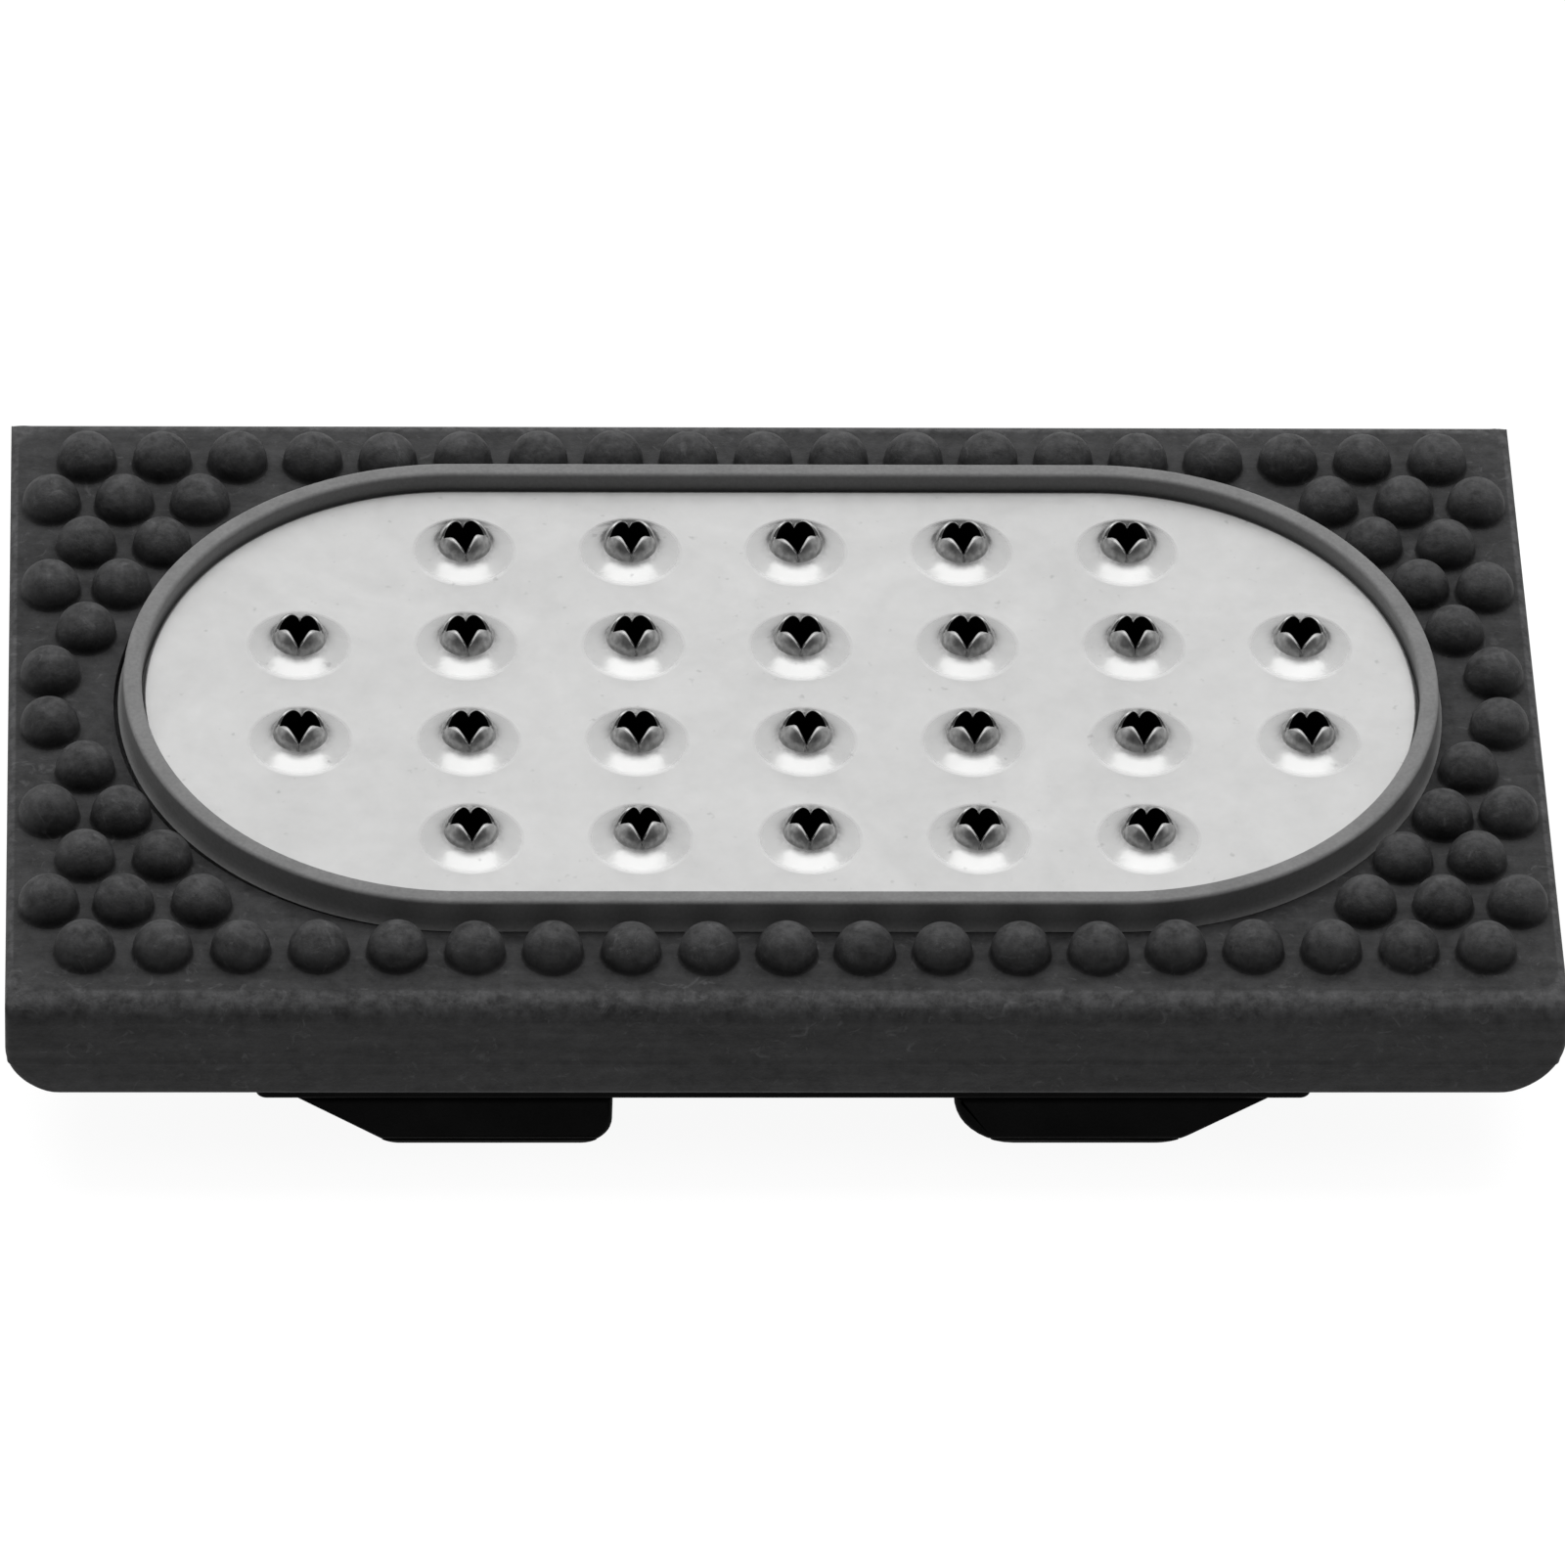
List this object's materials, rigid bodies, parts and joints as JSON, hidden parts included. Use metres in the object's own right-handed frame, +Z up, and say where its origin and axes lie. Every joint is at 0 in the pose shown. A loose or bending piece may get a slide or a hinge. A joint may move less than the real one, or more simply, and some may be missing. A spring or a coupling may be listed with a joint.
{
  "type": "snowboard stomp pad",
  "caption": "Rectangular rubber stomp pad with domed nubs round an oval pierced steel tread plate, bolted to a plastic carrier with adhesive feet.",
  "frame": {"origin": "on the surface that the pad is stuck to, under the middle of the rubber slab", "axes": "+X along the pad, +Y across it towards the rear long side, +Z up out of the tread plate"},
  "size_m": [0.1002, 0.0586, 0.017],
  "materials": {
    "black_rubber": "matt moulded black rubber with faint scuffs",
    "gasket_rubber": "smooth dark grey rubber with a soft sheen",
    "tread_steel": "satin stainless sheet, bright on the flares of the pierced teeth",
    "black_nylon": "moulded black nylon with a fine grain",
    "adhesive_foam": "matt black acrylic foam tape",
    "zinc_steel": "bright zinc-plated steel"
  },
  "bodies": {
    "root": {"rubber_pad": "black_rubber", "plate_gasket": "gasket_rubber", "traction_plate": "tread_steel", "carrier_plate": "black_nylon", "left_foot": "black_nylon", "right_foot": "black_nylon", "left_adhesive_strip": "adhesive_foam", "right_adhesive_strip": "adhesive_foam", "stud_left_front": "zinc_steel", "stud_left_rear": "zinc_steel", "stud_right_front": "zinc_steel", "stud_right_rear": "zinc_steel", "sleeve_left_front": "zinc_steel", "sleeve_left_rear": "zinc_steel", "sleeve_right_front": "zinc_steel", "sleeve_right_rear": "zinc_steel", "washer_left_front": "zinc_steel", "washer_left_rear": "zinc_steel", "washer_right_front": "zinc_steel", "washer_right_rear": "zinc_steel", "nut_left_front": "zinc_steel", "nut_left_rear": "zinc_steel", "nut_right_front": "zinc_steel", "nut_right_rear": "zinc_steel"}
  },
  "joints": []
}
